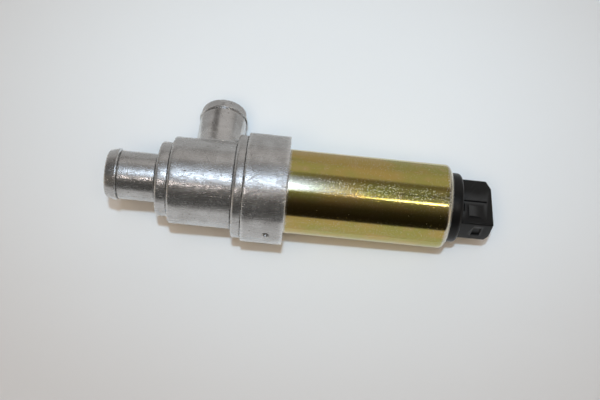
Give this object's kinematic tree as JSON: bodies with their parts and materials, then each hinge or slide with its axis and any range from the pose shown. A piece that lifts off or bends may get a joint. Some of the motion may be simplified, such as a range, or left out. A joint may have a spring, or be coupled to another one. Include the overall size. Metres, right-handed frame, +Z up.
{
  "type": "idle air control valve",
  "caption": "Solenoid air valve lying on a bench: stepped aluminium body with an axial and a side hose nipple, gold plated can with a rolled rim, black plug socket.",
  "frame": {"origin": "on the bench that the valve lies on, below the middle of its outline seen from above", "axes": "+X along the bench from the axial nipple towards the plug socket, +Y towards the side nipple, +Z up; the valve's own axis slopes down towards the socket, because it lies on its collar, the end of its can and the tip of its side nipple"},
  "size_m": [0.1558, 0.0594, 0.0451],
  "materials": {
    "cast_aluminium": "turned casting, scuffed",
    "gold_zinc": "yellow passivated zinc, worn",
    "black_moulding": "matt black moulding",
    "seal_rubber": "matt black rubber",
    "soft_iron": "turned soft iron",
    "bush_bronze": "sintered bronze",
    "sleeve_brass": "drawn brass",
    "bobbin_plastic": "natural glass-filled moulding",
    "copper_wire": "enamelled copper wire",
    "wrap_film": "amber film",
    "spring_steel": "bright steel",
    "tinned_contact": "tinned brass",
    "turned_aluminium": "turned"
  },
  "bodies": {
    "housing": {"valve_body": "cast_aluminium", "solenoid_can": "gold_zinc", "connector_cap": "black_moulding", "body_gasket": "seal_rubber", "cap_seal": "seal_rubber", "front_pole": "soft_iron", "front_bush": "bush_bronze", "guide_sleeve": "sleeve_brass", "coil_bobbin": "bobbin_plastic", "coil_winding": "copper_wire", "coil_wrap": "wrap_film", "fixed_core": "soft_iron", "rear_pole_plate": "soft_iron", "stop_washer": "sleeve_brass", "spring_adjuster": "sleeve_brass", "return_spring": "spring_steel", "terminal_left": "tinned_contact", "terminal_right": "tinned_contact"},
    "plunger": {"armature": "soft_iron", "valve_rod": "spring_steel", "valve_head": "turned_aluminium", "seat_washer": "seal_rubber", "clamp_washer": "spring_steel", "head_nut": "spring_steel"}
  },
  "joints": [
    {"name": "plunger_slide", "type": "slide", "parent": "housing", "child": "plunger", "axis": [0.9969, 0, -0.0784], "range_m": [0, 0.004], "stiffness_N_per_m": 400, "springref_m": -0.006, "deforming": ["return_spring"]}
  ]
}
